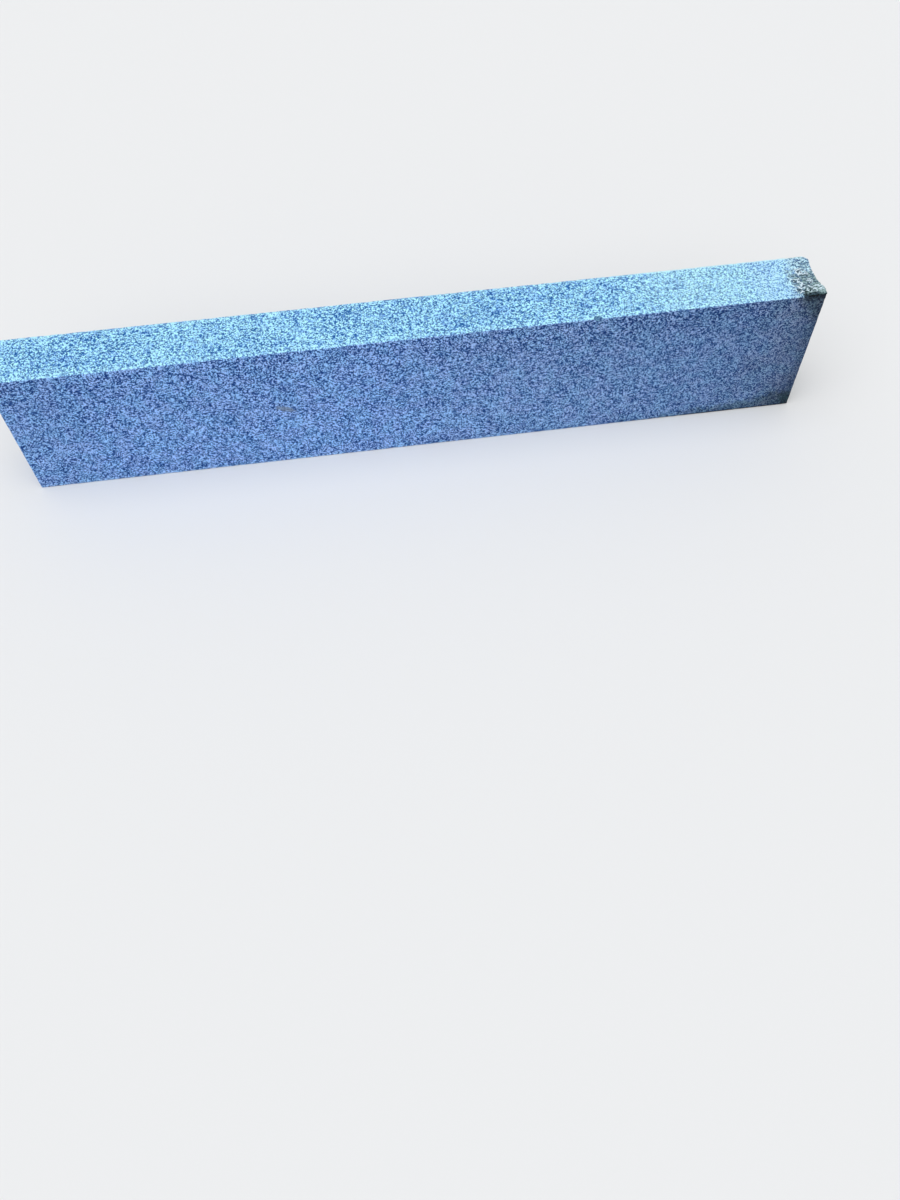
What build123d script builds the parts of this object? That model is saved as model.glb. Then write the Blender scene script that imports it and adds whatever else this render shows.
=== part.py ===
from build123d import *
from math import sqrt
import os

# Granite kerb stone: one sawn block with eased arrises, standing on its narrow bed.
# Millimetres. X runs along the stone, the face towards -Y is the road face, and Z is up.
# The origin is the middle of the bed. Left and right are as seen from the road.

# The sawn block
length = 1080.0
thickness = 80.0
height = 200.0

# Radius that each group of arrises is eased to
top_arris = 2.0
bed_arris = 2.0
end_arris = 1.5

# Nick knocked out of the top arris on the road side
nick_from_right_end = 303.0
nick_half_length = 6.0
nick_reach_on_top = 6.5
nick_reach_on_road_face = 4.0

# Long shallow hollow along the top arris of the right end
hollow_from_road_face = 46.0
hollow_half_length = 30.0
hollow_reach_on_top = 4.0
hollow_reach_on_end = 9.0

# Corner broken off at the back of the right end
corner_reach_along = 8.0
corner_reach_across = 9.0
corner_reach_down = 15.0


def arris_bite(half_length, reach_a, reach_b):
    """Ball whose surface leaves an arris half_length to each side of the bite's middle and
    reaches reach_a in on one face and reach_b in on the other. With the centre out by a and b
    from the arris, (reach_a + a)^2 + b^2, a^2 + (reach_b + b)^2 and a^2 + b^2 + half_length^2
    all equal the radius squared. Returns the radius, a and b."""
    out_a = (half_length**2 - reach_a**2) / (2 * reach_a)
    out_b = (half_length**2 - reach_b**2) / (2 * reach_b)
    radius = sqrt(out_a**2 + out_b**2 + half_length**2)
    return radius, out_a, out_b


right_end = length / 2
road_face = -thickness / 2
back_face = thickness / 2

with BuildPart() as kerb_stone:
    # The section stands on its bed and is carried from end to end
    with BuildSketch(Plane.YZ.offset(-length / 2)) as section:
        Rectangle(thickness, height, align=(Align.CENTER, Align.MIN))
        fillet(section.vertices().group_by(Axis.Y)[-1], top_arris)
        fillet(section.vertices().group_by(Axis.Y)[0], bed_arris)
    extrude(amount=length)
    ends = kerb_stone.faces().filter_by(Axis.X)
    fillet(ends.edges(), end_arris)

    # Stone breaks in shells, so each bite out of an arris is part of a ball
    nick_radius, nick_out, nick_up = arris_bite(
        nick_half_length, nick_reach_on_top, nick_reach_on_road_face
    )
    with Locations((right_end - nick_from_right_end, road_face - nick_out, height + nick_up)):
        Sphere(nick_radius, mode=Mode.SUBTRACT)

    hollow_radius, hollow_out, hollow_up = arris_bite(
        hollow_half_length, hollow_reach_on_top, hollow_reach_on_end
    )
    with Locations((right_end + hollow_out, road_face + hollow_from_road_face, height + hollow_up)):
        Sphere(hollow_radius, mode=Mode.SUBTRACT)

    # The broken corner is one flat face through a point on each of its three arrises
    corner_break = Plane(
        origin=(right_end - corner_reach_along, back_face, height),
        z_dir=(1 / corner_reach_along, 1 / corner_reach_across, 1 / corner_reach_down),
    )
    split(bisect_by=corner_break, keep=Keep.BOTTOM)

kerb_stone.part.label = "kerb_stone"

os.makedirs("parts", exist_ok=True)
export_step(kerb_stone.part, "parts/kerb_stone.step")
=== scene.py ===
# %% [markdown]
# # A granite kerb stone
# The stone is one sawn block, 1080 mm long, 80 mm thick and 200 mm high. It stands on its narrow bed. Its
# top is rough from the flame, its sides are smoother, and its right end is chipped and overgrown. The
# block's size and place come from the packed frame. This lesson gives it a surface: first the shape of
# every break and lump, worked out with numpy, and then the speckle of the granite and the growth as
# materials.

# %% The frame
import math
import bpy
import numpy as np
from mathutils import Matrix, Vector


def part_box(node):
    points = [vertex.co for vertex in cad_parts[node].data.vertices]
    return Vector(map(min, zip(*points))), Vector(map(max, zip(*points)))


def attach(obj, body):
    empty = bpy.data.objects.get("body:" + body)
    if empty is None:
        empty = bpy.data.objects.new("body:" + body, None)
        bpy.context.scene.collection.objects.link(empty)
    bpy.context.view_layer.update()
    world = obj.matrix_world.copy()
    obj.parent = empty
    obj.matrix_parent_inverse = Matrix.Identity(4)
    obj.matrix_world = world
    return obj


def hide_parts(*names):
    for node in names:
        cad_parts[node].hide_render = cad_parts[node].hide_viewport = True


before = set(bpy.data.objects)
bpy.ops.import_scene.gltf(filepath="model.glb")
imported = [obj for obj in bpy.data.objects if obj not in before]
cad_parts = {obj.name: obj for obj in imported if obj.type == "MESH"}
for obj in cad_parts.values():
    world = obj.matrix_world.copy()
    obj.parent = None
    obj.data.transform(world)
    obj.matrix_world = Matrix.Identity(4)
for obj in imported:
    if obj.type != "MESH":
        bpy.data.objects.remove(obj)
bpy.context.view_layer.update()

mm = 0.001
stone_low, stone_high = (np.array(corner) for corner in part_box("kerb_stone"))
left_end, road_face, bed = stone_low.tolist()
right_end, back_face, top = stone_high.tolist()
print("stone from", stone_low.round(4), "to", stone_high.round(4))

# %% [markdown]
# ## Lines across the block
# A mesh on a grid of lines can have more lines where there is more to show. Here that is along the
# arrises, round the nick in the front arris and over the last part of the right end. Each direction has a
# wish for the gap between its lines at every place, and the lines are laid so that they follow it. An
# even grid as fine as the arrises need would have nearly two million faces.

# %% Where the lines lie
samples = 4001


def stations(start, end, widest, *fine):
    """Lines from start to end. Each of fine is (from, to, gap): inside it the wanted gap is that, and
    outside it the gap widens by a fifth of the distance, up to widest. One over the gap is how many lines
    there are in a metre, so its running sum counts the lines, and they lie where the count passes equal
    steps."""
    places = np.linspace(start, end, samples)
    gaps = np.full(places.shape, widest)
    for low, high, gap in fine:
        away = np.maximum(0, np.maximum(low - places, places - high))
        gaps = np.minimum(gaps, gap + away / 5)
    counted = np.cumsum((1 / gaps[1:] + 1 / gaps[:-1]) / 2 * np.diff(places))
    counted = np.concatenate(([0.0], counted))
    return np.interp(np.linspace(0, counted[-1], round(counted[-1]) + 1), counted, places)


at_arris, at_nick, at_growth = 0.6 * mm, 1.0 * mm, 1.4 * mm
widest_along, widest_across, widest_up = 3.5 * mm, 2.4 * mm, 3.2 * mm
nick_from_end = 303
nick_middle = right_end - nick_from_end * mm
nick_reach = 7 * mm
growth_start, growth_stop = 46 * mm, 3 * mm
x_lines = stations(
    left_end, right_end, widest_along,
    (left_end, left_end, at_arris),
    (nick_middle - nick_reach, nick_middle + nick_reach, at_nick),
    (right_end - growth_start, right_end - growth_stop, at_growth),
    (right_end, right_end, at_arris),
)
y_lines = stations(
    road_face, back_face, widest_across, (road_face, road_face, at_arris), (back_face, back_face, at_arris)
)
z_lines = stations(bed, top, widest_up, (bed, bed, at_arris), (top, top, at_arris))
print("lines along, across and up:", len(x_lines), len(y_lines), len(z_lines))

# %% [markdown]
# ## A block with eased arrises
# The six sides of the block are six grids. Every point has a key made from its three line numbers, and
# points of two sides that meet in an arris get the same key, so that the mesh is closed with no seam to
# weld. An eased arris is a quarter of a tube. To get it, a smaller block is set inside, one arris radius
# in from each side. Each point of the surface then lies one radius away from the nearest point of that
# smaller block. A cube with a Bevel modifier would look the same, but here the points follow a formula,
# which the crust uses again later.

# %% The six sides
def box_sides(lines, chosen):
    """The points and four-cornered faces of the chosen sides of a box of lines. A side is (axis,
    at_high_end). The other two axes run in the order that makes their cross product point along this
    axis, so that the faces of a high end look outwards. The faces of a low end are turned round."""
    counts = [len(line) for line in lines]
    faces = []
    for axis, at_high_end in chosen:
        first, second = (axis + 1) % 3, (axis + 2) % 3
        numbers = [None, None, None]
        numbers[first], numbers[second] = np.meshgrid(
            np.arange(counts[first]), np.arange(counts[second]), indexing="ij"
        )
        numbers[axis] = np.full(numbers[first].shape, counts[axis] - 1 if at_high_end else 0)
        key = (numbers[0] * counts[1] + numbers[1]) * counts[2] + numbers[2]
        corners = np.stack([key[:-1, :-1], key[1:, :-1], key[1:, 1:], key[:-1, 1:]], axis=-1).reshape(-1, 4)
        faces.append(corners if at_high_end else corners[:, ::-1])
    keys, faces = np.unique(np.concatenate(faces), return_inverse=True)
    points = np.stack([
        lines[0][keys // (counts[1] * counts[2])],
        lines[1][keys // counts[2] % counts[1]],
        lines[2][keys % counts[2]],
    ], axis=1)
    return points, faces.reshape(-1, 4)


arris = 2.0 * mm


def ease(points):
    """The points moved onto the eased block, and the way outwards at each: from the nearest point of the
    smaller block inside, one arris radius along the line to the point."""
    inner = np.clip(points, stone_low + arris, stone_high - arris)
    outward = points - inner
    outward /= np.linalg.norm(outward, axis=1, keepdims=True)
    return inner + arris * outward, outward


all_sides = [(axis, at_high_end) for axis in range(3) for at_high_end in (False, True)]
plain, stone_faces = box_sides((x_lines, y_lines, z_lines), all_sides)
block, outward = ease(plain)
print("block:", len(block), "points and", len(stone_faces), "faces")

# %% [markdown]
# ## Noise worked out with arrays
# Stone is uneven at every size. Value noise gives that: random numbers sit on the corners of a lattice,
# and a point between them gets a smooth mixture of the eight corners round it. Sums of such noise, each
# half the size and half the height of the one before, look like rough stone. Blender has noise textures
# too, but numbers in an array can move points and fill masks at the same time.

# %% Noise
lattice_size = 64


def noise(points, cell, seed):
    """Smooth noise from -1 to 1. The random numbers of a cubic lattice, which repeats after so many cells
    of that size, are mixed by the smooth step 3 t^2 - 2 t^3 of the point's place t inside its cell, in
    each direction in turn."""
    lattice = np.random.default_rng(seed).uniform(-1, 1, (lattice_size, lattice_size, lattice_size))
    scaled = points / cell
    corner = np.floor(scaled).astype(int)
    t = scaled - corner
    tx, ty, tz = (t * t * (3 - 2 * t)).T
    i, j, k = corner.T % lattice_size
    i2, j2, k2 = (corner.T + 1) % lattice_size
    low = (lattice[i, j, k] * (1 - tx) + lattice[i2, j, k] * tx) * (1 - ty)
    low += (lattice[i, j2, k] * (1 - tx) + lattice[i2, j2, k] * tx) * ty
    high = (lattice[i, j, k2] * (1 - tx) + lattice[i2, j, k2] * tx) * (1 - ty)
    high += (lattice[i, j2, k2] * (1 - tx) + lattice[i2, j2, k2] * tx) * ty
    return low * (1 - tz) + high * tz


def rough(points, cell, seed, octaves=3):
    """A sum of noises, each with half the cell and half the height of the one before, from -1 to 1."""
    heights = 0.5 ** np.arange(octaves)
    layers = [noise(points, cell * height, seed + n) * height for n, height in enumerate(heights)]
    return sum(layers) / heights.sum()


def step(values, start, end):
    """0 before start, 1 after end and 3 t^2 - 2 t^3 between them. End may lie before start."""
    t = np.clip((values - start) / (end - start), 0, 1)
    return t * t * (3 - 2 * t)


example = rough(block[:1000], 7.0 * mm, seed=11)
print("rough values of 1000 points lie between", example.min().round(2), "and", example.max().round(2))

# %% [markdown]
# ## Breaks
# Granite breaks in shells, so a piece knocked off an arris leaves a hollow like part of a ball. The ball
# follows from three lengths: half the break's length along the arris, and how far it reaches in on each
# of the two sides. A point of the block that lies inside the ball moves outwards from the ball's centre
# until it is on the ball. The corner is broken off by one flat face, so points beyond that face are
# brought back to it. A Boolean with a sphere makes the same hollow, but it leaves long thin faces along
# the cut.

# %% A ball from three lengths
def ball_of(half_length, reach_a, reach_b):
    """The ball's radius, and how far its centre lies out from the arris across each side. The points at
    reach_a, reach_b and half_length from the middle are equally far from the centre."""
    out_a = (half_length**2 - reach_a**2) / (2 * reach_a)
    out_b = (half_length**2 - reach_b**2) / (2 * reach_b)
    return math.sqrt(out_a**2 + out_b**2 + half_length**2), out_a, out_b


nick_radius, nick_out, nick_up = ball_of(half_length=6.0 * mm, reach_a=6.5 * mm, reach_b=4.0 * mm)
nick_centre = np.array([nick_middle, road_face - nick_out, top + nick_up])
hollow_from_road = 46.0 * mm
hollow_radius, hollow_out, hollow_up = ball_of(half_length=30.0 * mm, reach_a=4.0 * mm, reach_b=9.0 * mm)
hollow_centre = np.array([right_end + hollow_out, road_face + hollow_from_road, top + hollow_up])
print("radius of the nick's ball:", round(nick_radius / mm, 1), "mm")
print("radius of the hollow's ball:", round(hollow_radius / mm, 1), "mm")

# %% Break the stone
corner_reach = np.array([8.0, 9.0, 15.0]) * mm
corner_out = (1 / corner_reach) / np.linalg.norm(1 / corner_reach)
corner_point = np.array([right_end - corner_reach[0], back_face, top])
lip_width, lip_core = 3.5 * mm, 0.5 * mm
touched, fully_broken = 0.1 * mm, 0.8 * mm


def hollowed(points, centre, radius):
    """Points inside the ball, moved along the ray from its centre onto the ball."""
    ray = points - centre
    distance = np.linalg.norm(ray, axis=1, keepdims=True)
    return np.where(distance < radius, centre + ray * radius / distance, points)


def broken(points):
    """The points with the nick, the hollow and the corner taken away, how freshly broken each one is, and
    how near it lies to the lip of the hollow or the corner. A point beyond the corner's face, by the dot
    product of its offset with the way out, goes back by that much."""
    left = hollowed(points, nick_centre, nick_radius)
    left = hollowed(left, hollow_centre, hollow_radius)
    beyond = np.maximum(0, (left - corner_point) @ corner_out)
    left = left - beyond[:, None] * corner_out
    to_hollow = np.linalg.norm(points - hollow_centre, axis=1) - hollow_radius
    to_corner = (corner_point - points) @ corner_out
    lip = step(np.minimum(to_hollow, to_corner), lip_width, lip_core)
    fresh = step(np.linalg.norm(left - points, axis=1), touched, fully_broken)
    return left, fresh, lip


print("points taken back by the breaks:", int((broken(block)[1] > 0).sum()))

# %% [markdown]
# ## The skin of the stone
# The flame makes the top burst off in small flakes, so it is rough by a few tenths of a millimetre. The
# sides are flatter. Along the arrises single grains have dropped out, and the breaks crumble. All of this
# only takes stone away, so the highest spots stay in the plane that the frame gives. A Displace modifier
# could do this with a texture. One function of the place is used instead, so that the crust can lie on
# exactly the same skin.

# %% Roughen the skin
flake_depth, saw_depth, dropped_depth, crumble_depth = 0.6 * mm, 0.25 * mm, 0.7 * mm, 0.9 * mm


def weathered(points, outward):
    """The skin of the stone at these points of the eased block, with how flamed it is there, how broken,
    how much it is on an arris, and how near the lip of a break. A point is on the flamed top where its
    way outwards points up, and on an arris where two parts of that way are large at once. It goes inwards
    by a sum of depths, each times its mask and its noise."""
    flamed = step(outward[:, 2], 0.4, 0.9)
    on_arris = step(np.sort(np.abs(outward), axis=1)[:, 1], 0.05, 0.5)
    left, fresh, lip = broken(points)
    flakes = 0.5 + 0.5 * rough(points, 7.0 * mm, seed=11)
    saw_wave = 0.5 + 0.5 * rough(points, 9.0 * mm, seed=21)
    dropped = step(rough(points, 5.0 * mm, seed=31, octaves=2), 0.0, 0.6)
    crumbly = 0.5 + 0.5 * rough(points, 3.5 * mm, seed=41)
    depth = flake_depth * flamed * flakes + saw_depth * (1 - flamed) * saw_wave
    depth += dropped_depth * on_arris * dropped + crumble_depth * fresh * crumbly
    return left - depth[:, None] * outward, flamed, fresh, on_arris, lip


skin, flamed, fresh_break, on_arris, lip = weathered(block, outward)
print("points on breaks:", int((fresh_break > 0.5).sum()))

# %% [markdown]
# ## Into a mesh
# The points and faces go into a Blender mesh. The masks go with them as attributes, so that the material
# can follow the shape: where the top was flamed, and where a break shows. Painted vertex groups could do
# that as well, but here the masks are already there as arrays.

# %% The stone's mesh
def add_mask(mesh, name, values):
    """One number per point, which a material can read by its name."""
    layer = mesh.attributes.new(name, "FLOAT", "POINT")
    layer.data.foreach_set("value", values.astype(np.float32))


def make_piece(name, points, faces, masks):
    """A smooth-shaded object at the origin, with its masks."""
    mesh = bpy.data.meshes.new(name)
    mesh.from_pydata(points.tolist(), [], faces.tolist())
    for mask, values in masks.items():
        add_mask(mesh, mask, values)
    mesh.shade_smooth()
    piece = bpy.data.objects.new(name, mesh)
    bpy.context.scene.collection.objects.link(piece)
    return piece


def open_edges(faces):
    """The edges that only one face has, each in the direction in which that face goes round."""
    edges = faces[:, [0, 1, 1, 2, 2, 3, 3, 0]].reshape(-1, 2)
    _, first, uses = np.unique(np.sort(edges, axis=1), axis=0, return_index=True, return_counts=True)
    return edges[first[uses == 1]]


stone = make_piece("weathered_stone", skin, stone_faces, {
    "flamed": flamed, "fresh_break": fresh_break, "on_arris": on_arris, "lip": lip
})
print("stone:", 2 * len(stone_faces), "triangles, open edges:", len(open_edges(stone_faces)))

# %% [markdown]
# ## The overgrown corner
# Moss and lichen sit on the front corner of the right end. They are a thin crust of their own, so they
# are a second piece that lies on the skin of the stone: the same surface again, with lines 0.6 mm apart,
# lifted where something grows and dipping into the stone where nothing does. Growth on the sides leans
# upwards, to the light. Hundreds of small moss objects would look the same from afar, but one shell is
# lighter and has no hidden faces.

# %% The crust's own lines
crust_gap = 0.6 * mm
crust_length, crust_short_of_back, crust_drop = 62 * mm, 20 * mm, 22 * mm
crust_lines = (
    np.arange(right_end, right_end - crust_length, -crust_gap)[::-1],
    np.arange(road_face, back_face - crust_short_of_back, crust_gap),
    np.arange(top, top - crust_drop, -crust_gap)[::-1],
)
plain_crust, crust_faces = box_sides(crust_lines, [(0, True), (1, False), (2, True)])
under, crust_outward = ease(plain_crust)
under_skin, crust_flamed, *_ = weathered(under, crust_outward)
upward_lean = (0.15, 0.3, 1.0)
lift = crust_outward * upward_lean
lift /= np.linalg.norm(lift, axis=1, keepdims=True)
print("points that the crust can grow from:", len(under))

# %% [markdown]
# ## Moss in cushions
# Moss grows in cushions, which are near enough to balls. A point of the skin goes along its own ray until
# it leaves the last ball. The cushions are thrown at random into a quarter of an ellipse round the
# corner, large and high in its middle and small at its edge, as a patch of moss spreads. Whole spheres
# would mostly lie hidden inside each other.

# %% Moss cushions
def out_of_balls(points, rays, centres, radii):
    """How far each point goes along its ray until it leaves the last ball, and how squarely it leaves.
    The distance t along the unit ray solves |p + t r - c| = R, so t = b + sqrt(b^2 - |p - c|^2 + R^2)
    with b = r . (c - p). It leaves squarely, at 1, on a ball's summit, and at less where two balls
    meet."""
    to_centre = centres[None] - points[:, None]
    b = (to_centre * rays[:, None]).sum(axis=2)
    inside_root = b**2 - (to_centre**2).sum(axis=2) + radii**2
    t = np.where(inside_root > 0, b + np.sqrt(np.maximum(0, inside_root)), -1.0)
    last = t.argmax(axis=1)
    row = np.arange(len(points))
    squarely = np.sqrt(np.maximum(0, inside_root[row, last])) / radii[last]
    return np.maximum(0, t[row, last]), np.clip(squarely, 0, 1)


dice = np.random.default_rng(77)
cushions = 260
patch_along, patch_across = 30, 25
cushion_size, less_at_edge = 3.4, 1.8
hill_height, sunk, overhang = 2.4, 0.8, 0.6
cushion_along = patch_along * dice.random(cushions)
cushion_across = patch_across * dice.random(cushions)
spread = np.hypot(cushion_along / patch_along, cushion_across / patch_across)
cushion_radius = (cushion_size - less_at_edge * spread) * (0.5 + 0.7 * dice.random(cushions)) * mm
inset = np.maximum(cushion_radius / mm - overhang, 0)
cushion_middle = np.stack([
    right_end - np.maximum(cushion_along, inset) * mm,
    road_face + np.maximum(cushion_across, inset) * mm,
    top + (hill_height * (1 - spread) - sunk) * mm,
], axis=1)
cushion_radius[spread > 1.0] = 0.0
height, summit = out_of_balls(under, lift, cushion_middle, cushion_radius)
print("cushions stand up to", round(float(height.max()) / mm, 1), "mm above the stone")

# %% [markdown]
# ## Lichen in discs
# Lichen grows outwards from its middle as a flat disc, and has its newest growth in a pale rim. Five
# large discs lie where the stone has them, and small ones are thrown between them and dropped where they
# would overlap. The distance to a disc's middle is bent by noise, because no lichen is quite round, and a
# bell curve of it is the rim. A colour alone would look flat in a close view.

# %% Lichen discs
def on_top(from_end, from_road):
    """Places on the top, from how many mm they lie from the right end and the road face."""
    return np.stack([right_end - from_end * mm, road_face + from_road * mm], axis=1)


# mm from the right end, mm from the road face, radius in mm
discs = np.array([
    (34.7, 31.0, 4.6), (33.2, 14.6, 4.0), (22.4, 49.0, 4.8), (14.5, 8.0, 3.4), (25.5, 21.0, 4.2)
])
worn_rims = 2  # the first two discs have lost their rims
allowed_overlap = 0.2
rim_place = 0.8
small = np.random.default_rng(5).random((34, 3))
small = small[small[:, 0] + 0.55 * small[:, 1] < 1.05]
small_discs = np.stack([2 + 50 * small[:, 0], 12 + 44 * small[:, 1], 1.0 + 1.2 * small[:, 2]], axis=1)
between_middles = np.linalg.norm(small_discs[:, None, :2] - discs[None, :, :2], axis=2)
clear = between_middles - discs[:, 2] - small_discs[:, 2:]
discs = np.concatenate([discs, small_discs[clear.min(axis=1) > -allowed_overlap]])
disc_middle = on_top(discs[:, 0], discs[:, 1])
disc_radius = discs[:, 2] * mm
rim_width = 0.4 * mm + 0.13 * disc_radius
from_middle = np.linalg.norm(under[:, None, :2] - disc_middle[None], axis=2)
from_middle *= 1.0 + 0.35 * rough(under, 3.5 * mm, seed=61)[:, None]
from_middle += 0.5 * mm * noise(under, 1.3 * mm, seed=63)[:, None]
rims = np.exp(-(((from_middle - rim_place * disc_radius) / rim_width) ** 2))
rim = rims[:, worn_rims:].max(axis=1) * crust_flamed
middle = step((from_middle / disc_radius).min(axis=1), 0.72, 0.55) * crust_flamed
print("lichen discs:", len(discs))

# %% [markdown]
# ## Lichen in lobes
# Old lichen dies off in the middle, and pieces of its rim grow on as short crooked lobes. Each lobe here
# is a short line or a few of them end to end, and the distance to the nearest line gives its width. The
# stone keeps a dark stain beside the lobes, so the same distance goes into the stone's mesh as one more
# mask. For the crust the points are moved by noise first, which makes the lines crooked. Curves with a
# round profile would look like tubes laid on the stone.

# %% Lichen lobes
# the line's start and its end, each as mm from the right end and mm from the road face, and its width in mm
lobes = np.array([
    (29.0, 9.8, 22.5, 9.8, 1.3), (19.5, 6.5, 17.5, 9.5, 1.3), (17.5, 9.5, 14.5, 11.8, 1.3),
    (14.5, 11.8, 11.0, 11.0, 1.3), (19.0, 20.7, 16.2, 16.4, 1.3), (16.2, 16.4, 11.3, 16.4, 1.3),
    (11.3, 16.4, 9.4, 18.8, 1.3), (9.4, 18.8, 2.7, 16.8, 1.3), (2.7, 16.8, 0.0, 12.0, 1.3),
    (8.0, 10.0, 3.0, 11.5, 1.3), (8.0, 6.5, 3.5, 7.5, 1.3), (40.2, 41.0, 37.6, 36.2, 1.1),
    (37.6, 36.2, 41.0, 30.2, 1.1), (41.0, 30.2, 40.0, 25.4, 1.0), (37.6, 36.4, 29.4, 34.1, 1.1),
    (29.4, 34.1, 26.1, 36.5, 1.0), (29.4, 33.5, 30.4, 28.3, 1.1), (40.0, 24.4, 35.2, 21.8, 1.0),
    (38.1, 21.6, 32.8, 20.1, 1.1), (32.8, 20.1, 29.4, 15.7, 1.2), (29.4, 15.7, 29.9, 10.9, 1.2),
    (29.9, 10.9, 33.3, 7.8, 1.1), (37.2, 17.7, 36.2, 11.9, 0.9), (29.0, 30.2, 25.1, 26.3, 1.0),
    (25.1, 26.3, 27.5, 20.6, 1.1), (17.9, 30.4, 11.1, 30.8, 1.1), (15.5, 33.1, 12.1, 34.1, 1.0),
    (25.1, 42.7, 20.8, 49.5, 1.0), (23.0, 44.5, 12.0, 43.0, 1.1), (13.5, 49.5, 12.1, 45.6, 1.0),
    (5.0, 43.8, 4.2, 44.3, 1.4), (58.3, 49.5, 55.5, 44.5, 1.0), (55.5, 44.5, 45.0, 41.0, 0.8),
    (34.9, 31.4, 34.5, 31.0, 0.9),
])
lobe_start, lobe_end = on_top(lobes[:, 0], lobes[:, 1]), on_top(lobes[:, 2], lobes[:, 3])
lobe_width = lobes[:, 4] * mm
stain_width = 2.2 * lobe_width


def to_lines(points, starts, ends, widths):
    """How far each point is from the nearest of the short lines, in units of that line's width. The
    nearest place on a line is start + t (end - start), where t = (point - start) . (end - start) / |end -
    start|^2, kept between 0 and 1."""
    run = ends - starts
    offset = points[:, None] - starts[None]
    t = np.clip((offset * run).sum(axis=2) / (run**2).sum(axis=1), 0, 1)
    return (np.linalg.norm(offset - t[:, :, None] * run, axis=2) / widths).min(axis=1)


wander = [rough(under, 2.6 * mm, seed) + 0.4 * noise(under, 1.3 * mm, seed + 3) for seed in (65, 66)]
wavy = under[:, :2] + mm * np.stack(wander, axis=1)
lobe = 1.15 * np.exp(-(to_lines(wavy, lobe_start, lobe_end, lobe_width) ** 2)) * crust_flamed
beside = np.exp(-(to_lines(block[:, :2], lobe_start, lobe_end, stain_width) ** 2)) * flamed
add_mask(stone.data, "beside_lobe", beside)
print("points of the crust on a lobe:", int((lobe > 0.5).sum()))

# %% [markdown]
# ## From masks to a crust
# Discs and lobes are only a few tenths of a millimetre thick, and broken here and there by noise. The
# moss adds its own height. Where nothing grows, the sheet dips below the stone's skin and is cut away.
# What is left gets an inner side a little inside the stone and a strip along every open edge, so that it
# is one closed shell. A Solidify modifier would thicken the sheet too, but would not keep its inner side
# inside the stone.

# %% How high the crust stands
layer, below, tuft, dish = 0.3 * mm, 0.25 * mm, 0.35 * mm, 0.9 * mm
nothing_grows = 0.15
cut_depth = 0.4 * mm
unbroken = step(rough(under, 2.4 * mm, seed=67, octaves=2), -0.5, -0.05)
lobe *= 0.35 + 0.65 * unbroken
rim = np.maximum(rim * (0.4 + 0.6 * unbroken), lobe)
middle *= 1 - lobe
fuzz = rough(under, 1.6 * mm, seed=71, octaves=2) + 0.5 * rim * noise(under, 0.9 * mm, seed=73)
grown = step(height, 0.0, 0.6 * mm)
sheet = layer * (np.maximum(rim, middle) + rim + lobe) - below
crust_height = sheet + height + tuft * fuzz * np.maximum(grown, rim) - dish * middle * grown
bare = (rim < nothing_grows) & (middle < nothing_grows) & (height <= 0)
crust_height = np.where(bare, -cut_depth, crust_height)
print("the crust stands up to", round(float(crust_height.max()) / mm, 1), "mm above the stone")

# %% Cut out the crust and close it
def shell(outer, inner, faces):
    """A closed shell: the outer faces, the inner faces turned round, and a strip from each open edge to
    its twin. Only the points that the faces use are kept."""
    kept, faces = np.unique(faces, return_inverse=True)
    faces = faces.reshape(-1, 4)
    a, b = open_edges(faces).T
    strip = np.stack([b, a, a + len(kept), b + len(kept)], axis=1)
    all_faces = np.concatenate([faces, faces[:, ::-1] + len(kept), strip])
    return np.concatenate([outer[kept], inner[kept]]), all_faces, kept


root_depth = 1.5 * mm
growing = (crust_height > 0)[crust_faces].any(axis=1)
crust_outer = under_skin + crust_height[:, None] * lift
crust_inner = under_skin - root_depth * crust_outward
crust_points, crust_shell, kept = shell(crust_outer, crust_inner, crust_faces[growing])
crust_masks = {
    "summit": summit * grown, "pale_rim": rim, "grown": grown, "middle": middle, "upward": crust_flamed
}
crust = make_piece("moss_and_lichen", crust_points, crust_shell, {
    name: np.tile(mask[kept], 2) for name, mask in crust_masks.items()
})
print("crust:", 2 * len(crust_shell), "triangles, open edges:", len(open_edges(crust_shell)))

# %% [markdown]
# ## Shader maths as plain expressions
# A material is a graph of nodes, and long sums are hard to read in it. This small class wraps an output
# socket, so that 1 - mask or a * b adds the Math node for it. Any other node comes from its method node,
# which sets the node's settings first and then gives its sockets a value or a link.

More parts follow.
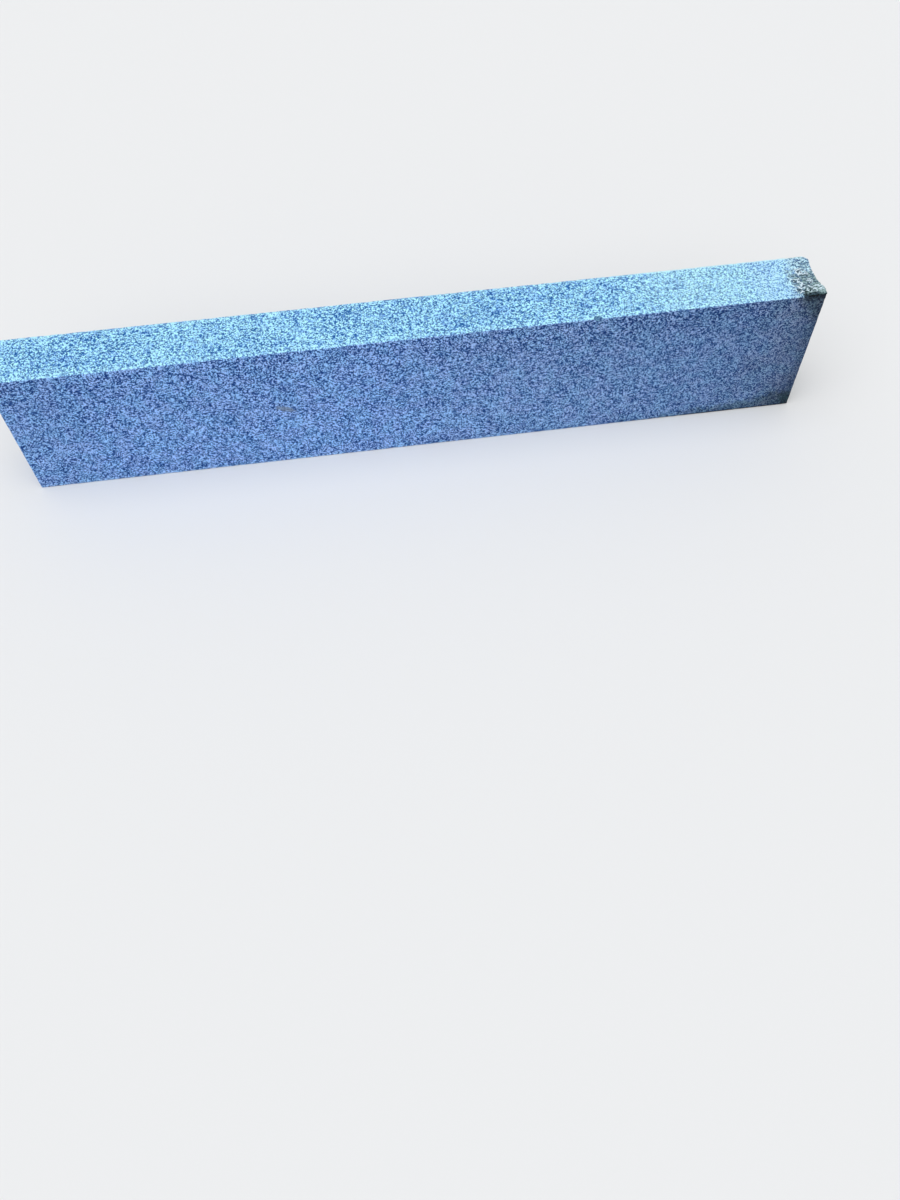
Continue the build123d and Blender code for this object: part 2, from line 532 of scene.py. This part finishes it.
# %% A wire between nodes
class Wire:
    """An output socket that can be used in an expression."""

    def __init__(self, tree, socket=None):
        self.tree = tree
        self.socket = socket

    def node(self, kind, sockets=(), settings=(), output=0):
        """A new node. Sockets go by name or number, and stops are a ramp's places and colours."""
        made = self.tree.nodes.new(kind)
        for name, value in dict(settings).items():
            if name == "stops":
                ramp = made.color_ramp
                while len(ramp.elements) < len(value):
                    ramp.elements.new(1.0)
                for element, (place, colour) in zip(ramp.elements, value):
                    element.position = place
                    element.color = (*colour, 1)
            else:
                setattr(made, name, value)
        for name, value in dict(sockets).items():
            if isinstance(value, Wire):
                self.tree.links.new(value.socket, made.inputs[name])
            else:
                made.inputs[name].default_value = value
        return Wire(self.tree, made.outputs[output])

    def math(self, operation, a, b=0.0):
        return self.node("ShaderNodeMath", {0: a, 1: b}, {"operation": operation})

    def __add__(self, other):
        return self.math("ADD", self, other)

    def __sub__(self, other):
        return self.math("SUBTRACT", self, other)

    def __rsub__(self, other):
        return self.math("SUBTRACT", other, self)

    def __mul__(self, other):
        return self.math("MULTIPLY", self, other)

    def __truediv__(self, other):
        return self.math("DIVIDE", self, other)

    def __pow__(self, other):
        return self.math("POWER", self, other)

    __radd__ = __add__
    __rmul__ = __mul__

    def most(self, other):
        return self.math("MAXIMUM", self, other)

    def step(self, start, end):
        """0 before start and 1 after end, with a smooth step between. End may lie before start."""
        if end < start:
            return 1 - self.step(end, start)
        sockets = {"Value": self, "From Min": start, "From Max": end}
        return self.node("ShaderNodeMapRange", sockets, {"interpolation_type": "SMOOTHSTEP"})

    def ramp(self, *stops):
        """The colours of the stops, each (place, colour), at this number."""
        return self.node("ShaderNodeValToRGB", {"Fac": self}, {"stops": stops})

    def under(self, colour, mask, blend="MIX"):
        """This colour with another one laid over it, as much as the mask says."""
        colour = (*colour, 1) if isinstance(colour, tuple) else colour
        settings = {"data_type": "RGBA", "blend_type": blend}
        return self.node("ShaderNodeMix", {0: mask, 6: self, 7: colour}, settings, output=2)

    def stained(self, *stains):
        """This colour multiplied by each stain, (colour, mask), as much as the mask says."""
        result = self
        for colour, mask in stains:
            result = result.under(colour, mask, "MULTIPLY")
        return result

    def vector(self, operation, a, b):
        return self.node("ShaderNodeVectorMath", {0: a, 1: b}, {"operation": operation})

    def fog(self, size, detail=2.0, shift=0.0):
        """Noise from 0 to 1, with patches of about that size. A shift gives another noise."""
        moved = self.vector("ADD", self, (shift, shift, shift)) if shift else self
        return self.node("ShaderNodeTexNoise", {"Vector": moved, "Scale": 1 / size, "Detail": detail})

    def bump(self, height, strength, distance):
        """The surface's direction, as if it had this relief."""
        sockets = {"Height": height, "Strength": strength, "Distance": distance}
        return self.node("ShaderNodeBump", sockets, output="Normal")

    def attribute(self, name):
        return self.node("ShaderNodeAttribute", {}, {"attribute_name": name}, output="Fac")


print("a wire can do:", ", ".join(name for name in vars(Wire) if not name.startswith("_")))

# %% [markdown]
# ## Starting a material
# Both materials start in the same way: with each point's place on the object, and with how far that place
# is from the right end and the road face. From here on these distances are in millimetres, so that a mask
# such as from_end.step(52, 36) can be read as a place on the stone: it begins 52 mm from the end and is
# full at 36 mm.

# %% Helpers for materials
def new_material(name):
    """An empty material's shader, and a Wire with each point's place on the object."""
    material = bpy.data.materials.new(name)
    material.use_nodes = True
    place = Wire(material.node_tree).node("ShaderNodeTexCoord", output="Object")
    return material, material.node_tree.nodes["Principled BSDF"], place


def from_end_and_road(place):
    """How many mm a place lies from the right end, and how many from the road face."""
    along, across = (place.node("ShaderNodeSeparateXYZ", {"Vector": place}, output=axis) for axis in (0, 1))
    return (right_end - along) / mm, (across - road_face) / mm


def connect(shader, **sockets):
    """Feeds the shader's sockets. An underscore in a name stands for a space."""
    for name, wire in sockets.items():
        wire.tree.links.new(wire.socket, shader.inputs[name.replace("_", " ")])


granite, granite_shader, place = new_material("granite")
from_end, from_road = from_end_and_road(place)
from_bed = (place.node("ShaderNodeSeparateXYZ", {"Vector": place}, output=2) - bed) / mm
print("granite starts with", len(granite.node_tree.nodes), "nodes")

# %% [markdown]
# ## The speckle of the granite
# Granite is a packing of grains of white feldspar, grey quartz and black mica. This one is fine: most
# grains are 1 to 2 mm across, and flecks of mica under 1 mm lie between them. A Voronoi pattern gives
# every grain one random number, and a ramp will turn the number into the colour of a mineral. The pattern
# is solid, so a grain that is cut by an arris goes on round it, as in the real stone. The places are bent
# a little first, because grains grow into each other and have no straight sides. Feldspar splits along
# thin layers and glints unevenly, so a noise finer than the grains is added to their numbers. A picture
# of granite would need unwrapping, and would show seams and repeats.

# %% Grains
bend_size, bend_width = 2.5 * mm, 2.0 * mm
bend_sockets = {"Vector": place, "Scale": 1 / bend_size, "Detail": 3.0}
bend = place.node("ShaderNodeTexNoise", bend_sockets, output="Color")
bend = place.vector("SUBTRACT", bend, (0.5, 0.5, 0.5))
bend = place.node("ShaderNodeVectorMath", {0: bend, "Scale": bend_width}, {"operation": "SCALE"})
bent = place.vector("ADD", place, bend)


def grains(size):
    """A random number from 0 to 1 for every grain, with grains of about that size."""
    cells = place.node("ShaderNodeTexVoronoi", {"Vector": bent, "Scale": 1 / size}, output="Color")
    return place.node("ShaderNodeSeparateColor", {"Color": cells})


small_grains = grains(0.8 * mm)
mica_flecks = small_grains.step(0.80, 0.88)
cleavage = place.fog(0.6 * mm, detail=3.0, shift=0.6) - 0.5
speckle = 0.585 + 1.42 * (grains(1.5 * mm) - 0.5) + 0.36 * (small_grains - 0.5) - 0.6 * mica_flecks
speckle = speckle + 0.15 * (place.fog(6.0 * mm, shift=0.3) - 0.5)
speckle = speckle + 0.25 * (place.fog(28.0 * mm, shift=0.7) - 0.5)
speckle = speckle + 0.3 * cleavage
print("granite with its grains:", len(granite.node_tree.nodes), "nodes")

# %% [markdown]
# ## Two finishes
# The flame makes feldspar milky, so the top is paler and more cyan than the sides, which keep the deep
# blue of the fresh stone. Each finish has its own ramp from mica to feldspar. The sides' ramp is also
# darker than the stone itself, as painted shade: the sides get less light than the top. The top is also
# bleached where it is worn: along both of its arrises, and over the last 15 to 30 cm before the overgrown
# end. Clouds 8 cm wide make one hand's breadth of it paler than the next. One ramp with a paler tint would
# not do, because the flame changes the minerals' own colours.

# %% How bleached the top is
cloud = place.fog(15.0 * mm, shift=0.1) - 0.5
wide_cloud = place.fog(80.0 * mm, shift=4.1) - 0.5
road_band = from_road.step(14, 4) * from_end.step(170, 215)
back_band = from_road.step(69, 77)
bleached_end = (from_end + 130 * cloud).step(310, 150)
bloom = (0.64 * road_band).most(0.7 * back_band).most(bleached_end) + 0.5 * cloud
bleached = bloom.step(0.0, 1.0)
rotten = (from_end + 20 * cloud + 0.12 * from_road).step(52, 36)
crumbling = from_end.step(34, 24)
print("granite with its bleaching:", len(granite.node_tree.nodes), "nodes")

# %% Flamed top
flamed_contrast = (speckle - 0.5) * (1 + 0.4 * rotten + 0.9 * crumbling)
flamed_value = 0.5 + flamed_contrast + 0.12 * bleached - 0.105 * rotten + 0.44 * wide_cloud
flamed_mineral = flamed_value.ramp(
    (0.00, (0.000, 0.080, 0.29)),  # mica
    (0.20, (0.004, 0.114, 0.40)),
    (0.40, (0.085, 0.260, 0.65)),  # quartz
    (0.50, (0.228, 0.512, 0.98)),
    (0.64, (0.380, 0.755, 1.00)),  # feldspar
    (1.00, (0.490, 0.910, 1.00)),
)
purple = place.fog(24.0 * mm, shift=1.7).step(0.54, 0.66) * (1 - 0.6 * bleached)
purple_end = (from_end + 40 * cloud).step(100, 75)
pale_back = from_road.step(75.5, 78.0) * from_end.step(300, 180)
flamed_top = flamed_mineral.under((0.50, 0.84, 0.96), 0.14 * bleached).stained(
    ((1.05, 1.00, 0.965), bleached_end),
    ((0.84, 0.86, 0.99), 0.8 * purple),
    ((0.96, 0.93, 1.00), purple_end),
)
flamed_top = flamed_top.under((0.60, 0.92, 1.00), 0.75 * pale_back)
print("granite with its flamed top:", len(granite.node_tree.nodes), "nodes")

# %% Sawn sides
under_top = from_bed.step(135, 198)
mica_nest = (place.fog(13.0 * mm, shift=0.5) + 0.1 * under_top).step(0.66, 0.78)
duller = from_end.step(560, 60)
dullest = from_end.step(50, 10)
sawn_contrast = (speckle - 0.5) * (0.91 + 0.3 * under_top - 0.29 * duller - 0.17 * dullest)
shaded = under_top * (1 + duller) * from_end.step(40, 130)
# the sides' ramp is darker than the stone itself: painted shade of the sides, besides their sawn finish;
# shaded darkens their upper part further
sawn_and_shaded_mineral = (0.5 + sawn_contrast - 0.065 * shaded - 0.12 * mica_nest).ramp(
    (0.00, (0.000, 0.030, 0.170)),  # mica
    (0.26, (0.004, 0.053, 0.235)),
    (0.40, (0.058, 0.145, 0.400)),  # quartz
    (0.60, (0.155, 0.307, 0.650)),
    (0.72, (0.302, 0.510, 0.895)),  # feldspar
    (1.00, (0.345, 0.565, 0.950)),
)
tint = place.fog(22.0 * mm, shift=1.1).step(0.38, 0.62)
sawn_and_shaded_mineral = sawn_and_shaded_mineral.stained(((0.91, 1.02, 1.03), tint), ((1.02, 0.99, 1.03), 1 - tint))
print("granite with its sawn sides:", len(granite.node_tree.nodes), "nodes")

# %% [markdown]
# ## Dirt and damp, with painted shade and a painted highlight
# The stone was used before, and one end of it stood in the damp. Grime deepens from the middle of the
# stone to the right end, rises from the bed there, and gathers in the corner under the moss. It is
# multiplied over the speckle, so that the grains still show through it. Two noises, one wide and one
# fine, fray the edge of every stain. Dirt could be painted by hand on an unwrapped stone. Distances from
# the end, the bed and the road face say the same in a few numbers, which are easy to change.

# %% Grime and painted shade along the sides
smudge = place.fog(35.0 * mm, shift=0.9) - 0.5
fine_smudge = place.fog(7.0 * mm, detail=3.0, shift=0.2) - 0.5
grime_length = 600
grime = ((from_end + 90 * smudge) / grime_length).ramp(
    (0.00, (0.46, 0.38, 0.33)),
    (0.05, (0.60, 0.51, 0.45)),
    (0.15, (0.71, 0.66, 0.63)),
    (0.30, (0.78, 0.75, 0.72)),
    (0.48, (0.88, 0.83, 0.79)),
    (0.75, (0.95, 0.91, 0.88)),
    (1.00, (1.00, 1.00, 1.00)),
)
end_shade = (from_end + 10 * fine_smudge).step(20, 4)
left_shade = (from_end + 60 * smudge).step(960, 1020)
under_moss = (from_end - 0.8 * from_bed + 158 + 22 * fine_smudge).step(48, 24)  # on a slant
# a dark band on the front just under the crust: partly painted shadow of the crust, partly dark damp
crust_shade_and_damp = (from_end + 26 * fine_smudge).step(44, 24) * (from_bed + 14 * fine_smudge).step(189, 197)
print("granite with its grime:", len(granite.node_tree.nodes), "nodes")

# %% Damp near the bed, with a painted contact shadow and a painted highlight
splashed = from_bed.step(110, 70) * from_bed.step(6, 24) * from_end.step(60, 220)
rising_damp = (from_bed + 0.13 * from_end + 36 * fine_smudge + 20 * smudge).step(36, 22)
foot_corner = (from_end + 40 * fine_smudge).step(24, 8) * (from_bed + 24 * fine_smudge).step(34, 14)
# a dark line along the bed: painted contact shadow where the stone meets the floor
painted_contact_shadow = from_bed.step(3.6, 2.2) * from_end.step(250, 110)
# a paler line just above the bed: painted highlight where the lower arris catches the light
painted_foot_highlight = from_bed.step(6.5, 4.0) * from_end.step(330, 640)
print("granite with its damp:", len(granite.node_tree.nodes), "nodes")

# %% The small slanting stain
stain_from_end, stain_from_bed, stain_slope = 720, 101, 0.35
half_length, half_height = 13, 4.5
beside_stain = from_end - stain_from_end
above_stain = from_bed - stain_from_bed - stain_slope * beside_stain
stain = (beside_stain / half_length) ** 2 + (above_stain / half_height) ** 2 + 2 * fine_smudge
stain_here = stain.step(1.6, 0.2)
on_road_face = from_road.step(4, 0)
print("granite with its stain:", len(granite.node_tree.nodes), "nodes")

# %% Lay the dirt, the painted shade and the painted highlight over the sides
sides = sawn_and_shaded_mineral.stained(
    (grime, 1.0),
    ((1.07, 1.06, 1.05), splashed),
    ((0.60, 0.62, 0.56), rising_damp),
    ((0.36, 0.54, 0.48), foot_corner),
    ((0.78, 0.81, 0.81), end_shade),
    ((0.90, 0.91, 0.92), left_shade),
    ((0.53, 0.55, 0.49), under_moss),
)
sides = sides.under((0.15, 0.20, 0.27), 0.7 * stain_here * on_road_face).stained(
    ((0.28, 0.33, 0.35), crust_shade_and_damp),
    ((0.30, 0.32, 0.34), painted_contact_shadow),
    ((1.25, 1.20, 1.10), painted_foot_highlight),
)
print("granite with its dirt:", len(granite.node_tree.nodes), "nodes")

# %% [markdown]
# ## The film on the overgrown end
# Between the moss and the lichen, algae and fine soil make a film on the top. It is far too thin for a
# mesh, so it is a stain in the stone's own material. It darkens the grains under it, and hides some of
# them altogether. Along the front arris it is nearly black: partly because the moss keeps it damp, and
# partly as painted shadow of the moss.

# %% Film on the end of the top
near_road = from_road.step(52, 40)
last_bit = (from_end + 24 * fine_smudge).step(30, 12)
film_along = (from_end + 34 * fine_smudge - 0.3 * from_road).step(34, 18)
film = film_along * (from_road + 34 * fine_smudge).step(56, 36)
film_patch = (0.25 + 1.4 * (grains(2.2 * mm) - 0.5)).step(0.0, 0.8) * film
film_colour = (cleavage + 0.5).ramp((0.3, (0.070, 0.115, 0.130)), (0.7, (0.23, 0.34, 0.37)))
# nearly black along the front arris under the moss: partly painted shadow of the moss, partly damp film
moss_shade_and_film_edge = (from_end + 10 * fine_smudge).step(34, 28) * from_end.step(9, 13)
moss_shade_and_film_edge = moss_shade_and_film_edge * (from_road + 6 * fine_smudge).step(7, 4)
flamed_top = flamed_top.stained(
    ((0.94, 0.87, 0.88), rotten * near_road),
    ((1.05, 0.98, 0.95), rotten * (1 - near_road)),
    ((0.96, 0.91, 0.86), last_bit),
    ((0.65, 0.64, 0.58), film),
)
flamed_top = flamed_top.under(film_colour, film_patch).stained(((0.12, 0.16, 0.20), moss_shade_and_film_edge))
print("granite with its film:", len(granite.node_tree.nodes), "nodes")

# %% [markdown]
# ## Breaks and arrises
# The masks that came with the mesh now join the two finishes, and mark what happened to the stone since
# it was cut. The change from the flamed top to the sawn side follows whole grains, as it does where a
# flame stops. A break shows cleaner stone. Towards the back, the lips of the breaks and the top arris of
# the end are rubbed pale. The nick is darkened. On the overgrown end single grains stay darker or
# paler than the film round them.

# %% Join the two finishes
broken_here, arris_here, flamed_here, lip_here = (
    place.attribute(name) for name in ("fresh_break", "on_arris", "flamed", "lip")
)
flamed_grains = (flamed_here + 0.9 * (grains(2.4 * mm) - 0.5) * (1 - flamed_here)).step(0.40, 0.62)
nick_here = from_end.step(nick_from_end + 10, nick_from_end + 6) * broken_here
nick_here = nick_here * from_end.step(nick_from_end - 10, nick_from_end - 6)
pale_lip = lip_here * (from_road + 10 * fine_smudge).step(44, 56) * speckle.step(0.40, 0.60)
pale_end = arris_here * from_end.step(3.5, 1.5) * from_bed.step(193, 197) * from_road.step(44, 54)
stone_colour = sides.under(flamed_top, flamed_grains)
stone_colour = stone_colour.under((0.36, 0.60, 0.80), 0.22 * broken_here * (1 - nick_here))
stone_colour = stone_colour.under((0.52, 0.80, 0.94), 0.9 * pale_lip)
stone_colour = stone_colour.under((0.55, 0.82, 0.96), (0.3 + 0.5 * speckle) * pale_end)
print("granite with both finishes:", len(granite.node_tree.nodes), "nodes")

# %% Specks, the stain beside the lobes, the nick and the arrises
back_corner = from_end.step(34, 24) * from_road.step(38, 50) * from_bed.step(180, 190)
overgrown = flamed_here * film.most(0.6 * rotten * near_road)
specks = grains(1.9 * mm)
dark_specks = specks.step(0.38, 0.28) * back_corner.most(overgrown)
pale_specks = specks.step(0.74, 0.82) * back_corner.most(0.35 * overgrown)
beside_lobe = (place.attribute("beside_lobe") + 0.9 * (grains(1.7 * mm) - 0.5)).step(0.55, 0.75)
beside_lobe = beside_lobe * from_end.step(50, 40) * flamed_here
side_arris = arris_here * (1 - flamed_here) * (1 - painted_contact_shadow) * from_end.step(8, 60)
stone_colour = stone_colour.stained(((0.35, 0.41, 0.49), dark_specks), ((0.52, 0.57, 0.58), beside_lobe))
stone_colour = stone_colour.under((0.58, 0.86, 0.98), 0.8 * pale_specks)
stone_colour = stone_colour.stained(((0.30, 0.34, 0.42), nick_here))
stone_colour = stone_colour.under((0.30, 0.50, 0.86), 0.3 * side_arris)
print("granite with its breaks:", len(granite.node_tree.nodes), "nodes")

# %% Relief and sheen of the grains
grain_height = speckle.step(0.1, 0.7) * 0.35 + place.fog(1.2 * mm, detail=1.0, shift=0.4) * 0.65
grain_relief = place.bump(grain_height, strength=0.6, distance=0.5 * mm)
grain_roughness = 0.62 + 0.25 * speckle.step(0.2, 0.4)
granite_shader.inputs["Specular IOR Level"].default_value = 0.18
connect(granite_shader, Base_Color=stone_colour, Roughness=grain_roughness, Normal=grain_relief)
stone.data.materials.append(granite)
print("granite is finished:", len(granite.node_tree.nodes), "nodes")

# %% [markdown]
# ## Moss and lichen
# Moss is nearly black between its cushions, where it is damp and shaded, and pale on their summits, where
# it dries and is lit: this colour holds painted shade between the cushions and painted light on the
# summits. Lichen is dark and specked in the middle of a disc and pale in its rims and lobes. The crust's
# own masks say which of them a point is. A coarse and a fine noise break up every change between them,
# because both growths are made of crumbs. Hair particles would suit long moss, but this moss is short and
# dense, and a relief of tufts is enough. The crust's front edge and its sides, which face away from the
# sky, are darkened with painted shade and dark moss.

# %% Moss and the middles of discs
growth, growth_shader, on_crust = new_material("moss_and_lichen")
summit_here, rim_here, middle_here, grown_here, upward_here = (
    on_crust.attribute(name) for name in ("summit", "pale_rim", "middle", "grown", "upward")
)
crust_from_end, crust_from_road = from_end_and_road(on_crust)
patchy = on_crust.fog(2.4 * mm, detail=3.0)
crumbs = on_crust.fog(0.8 * mm, detail=3.0, shift=0.4)
# pale on the summits, nearly black between the cushions: painted light and painted shade, besides drying
# and damp
moss_lit_and_shaded = (summit_here ** 2 * 0.9 + 1.8 * (patchy - 0.5) - 0.05).ramp(
    (0.10, (0.008, 0.020, 0.026)),  # between the cushions
    (0.40, (0.050, 0.092, 0.10)),
    (0.65, (0.13, 0.21, 0.22)),
    (0.95, (0.36, 0.50, 0.53)),  # their summits
)
disc_colour = patchy.ramp((0.35, (0.035, 0.07, 0.10)), (0.65, (0.14, 0.24, 0.31)))
disc_colour = disc_colour.under((0.30, 0.52, 0.80), crust_from_end.step(34, 40))
disc_speck = 0.35 + 0.5 * on_crust.fog(1.1 * mm, shift=0.8).step(0.45, 0.58)
growth_colour = disc_colour.under(moss_lit_and_shaded, grown_here)
growth_colour = growth_colour.stained(((0.22, 0.28, 0.34), disc_speck * middle_here))
print("growth with its moss:", len(growth.node_tree.nodes), "nodes")

# %% Rims, lobes and edges
at_corner = crust_from_end.step(15, 9) * (crust_from_road + 4 * (patchy - 0.5)).step(1.5, 4.0)
at_edge = (crust_from_road + 5 * (patchy - 0.5)).step(6.5, 4.0) * crust_from_end.step(8, 12)
rim_patch = (rim_here + 0.9 * (patchy - 0.5) + 1.1 * (crumbs - 0.5)).step(0.40, 0.78)
rim_on_moss = rim_patch * (0.95 - 0.15 * grown_here) * (1 - 0.7 * at_edge)
rim_on_stone = rim_patch * crust_from_end.step(34, 42)
# paler on the summits at the corner: painted light on the cushions' tops, with paler growth
growth_colour = growth_colour.under((0.30, 0.44, 0.45), 0.65 * at_corner * summit_here)
# darker along the crust's front edge: painted shade, with dark moss
growth_colour = growth_colour.stained(((0.16, 0.20, 0.25), at_edge))
growth_colour = growth_colour.under((0.68, 0.84, 0.95), rim_on_moss)
growth_colour = growth_colour.under((0.54, 0.92, 1.00), 0.9 * rim_on_stone)
# darker where the crust faces away from the sky: painted shade on its sides, with dark moss
growth_colour = growth_colour.stained(((0.22, 0.27, 0.32), upward_here.step(0.8, 0.2)))
tufts = on_crust.fog(0.9 * mm, detail=4.0, shift=0.6)
tuft_relief = on_crust.bump(tufts, strength=0.8, distance=0.8 * mm)
connect(growth_shader, Base_Color=growth_colour, Normal=tuft_relief)
growth_shader.inputs["Roughness"].default_value = 0.92
growth_shader.inputs["Specular IOR Level"].default_value = 0.2
crust.data.materials.append(growth)
print("growth is finished:", len(growth.node_tree.nodes), "nodes")

# %% [markdown]
# ## Floor, light and camera
# The stone stands on a plain pale floor under soft light: an even white surrounding and one very wide
# lamp overhead, a little to the front. Together they light the top at about 1, so that a colour shows as
# it is written. A small lamp would throw hard shadows and bright spots, which hide the speckle.

# %% Floor
floor_half = 40.0
floor_corners = [(x * floor_half, y * floor_half, 0) for x, y in ((-1, -1), (1, -1), (1, 1), (-1, 1))]
floor_mesh = bpy.data.meshes.new("floor")
floor_mesh.from_pydata(floor_corners, [], [(0, 1, 2, 3)])
floor = bpy.data.objects.new("floor", floor_mesh)
bpy.context.scene.collection.objects.link(floor)
floor_paint = bpy.data.materials.new("floor_paint")
floor_paint.use_nodes = True
floor_shader = floor_paint.node_tree.nodes["Principled BSDF"]
floor_shader.inputs["Base Color"].default_value = (0.76, 0.77, 0.78, 1)
floor_shader.inputs["Roughness"].default_value = 0.9
floor_mesh.materials.append(floor_paint)
print("floor:", 2 * floor_half, "m square")

# %% Light
shade_strength, seen_strength = 0.5, 0.85
world = bpy.data.worlds.new("even_light")
world.use_nodes = True
sky = Wire(world.node_tree)
seen = [
    sky.node("ShaderNodeLightPath", output=f"Is {ray} Ray") for ray in ("Camera", "Glossy", "Transmission")
]
seen_straight = seen[0].most(seen[1]).most(seen[2])
sky_strength = shade_strength + (seen_strength - shade_strength) * seen_straight
background = world.node_tree.nodes["Background"]
background.inputs["Color"].default_value = (1, 1, 1, 1)
world.node_tree.links.new(sky_strength.socket, background.inputs["Strength"])
bpy.context.scene.world = world
lamp_data = bpy.data.lights.new("overhead_lamp", "SUN")
lamp_width, lamp_strength = 80, 2.1
lean_to_front, lean_to_side = 22, -8
lamp_data.angle = math.radians(lamp_width)
lamp_data.energy = lamp_strength
lamp = bpy.data.objects.new("overhead_lamp", lamp_data)
lamp.rotation_euler = (math.radians(lean_to_front), math.radians(lean_to_side), 0)
bpy.context.scene.collection.objects.link(lamp)
print("lamp:", lamp_strength, "and surrounding:", shade_strength)

# %% [markdown]
# ## The camera
# The camera stands in front of the stone at chest height and looks down at it. Its heading is the turn to
# the right from straight ahead, its tilt is how far it looks down, and its roll is the small turn about
# its own axis. Its focal length was worked out in picture points, for a picture 1200 points high, and a
# lens is given in millimetres of a sensor that is 36 mm along its longer side.

# %% Camera
camera_place = (-66.97 * mm, -1009.88 * mm, 1072.02 * mm)
heading, tilt, roll = math.radians(5.8366), math.radians(56.7224), math.radians(-2.0709)
focal_points, picture_height, sensor = 993.26, 1200, 36
ahead = np.array([math.sin(heading) * math.cos(tilt), math.cos(heading) * math.cos(tilt), -math.sin(tilt)])
level_right = np.array([math.cos(heading), -math.sin(heading), 0])
level_up = np.cross(level_right, ahead)
camera_right = level_right * math.cos(roll) + level_up * math.sin(roll)
camera_up = level_up * math.cos(roll) - level_right * math.sin(roll)
camera_data = bpy.data.cameras.new("camera")
camera_data.sensor_width = sensor
camera_data.lens = sensor * focal_points / picture_height
camera = bpy.data.objects.new("camera", camera_data)
turn = Matrix(np.stack([camera_right, camera_up, -ahead], axis=1).tolist()).to_4x4()
camera.matrix_world = Matrix.Translation(camera_place) @ turn
bpy.context.scene.collection.objects.link(camera)
bpy.context.scene.camera = camera
bpy.context.scene.view_settings.view_transform = "Standard"
print("lens:", round(camera_data.lens, 1), "mm")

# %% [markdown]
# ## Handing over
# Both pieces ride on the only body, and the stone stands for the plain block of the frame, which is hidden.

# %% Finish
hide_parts("kerb_stone")
for piece in (stone, crust):
    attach(piece, "root")
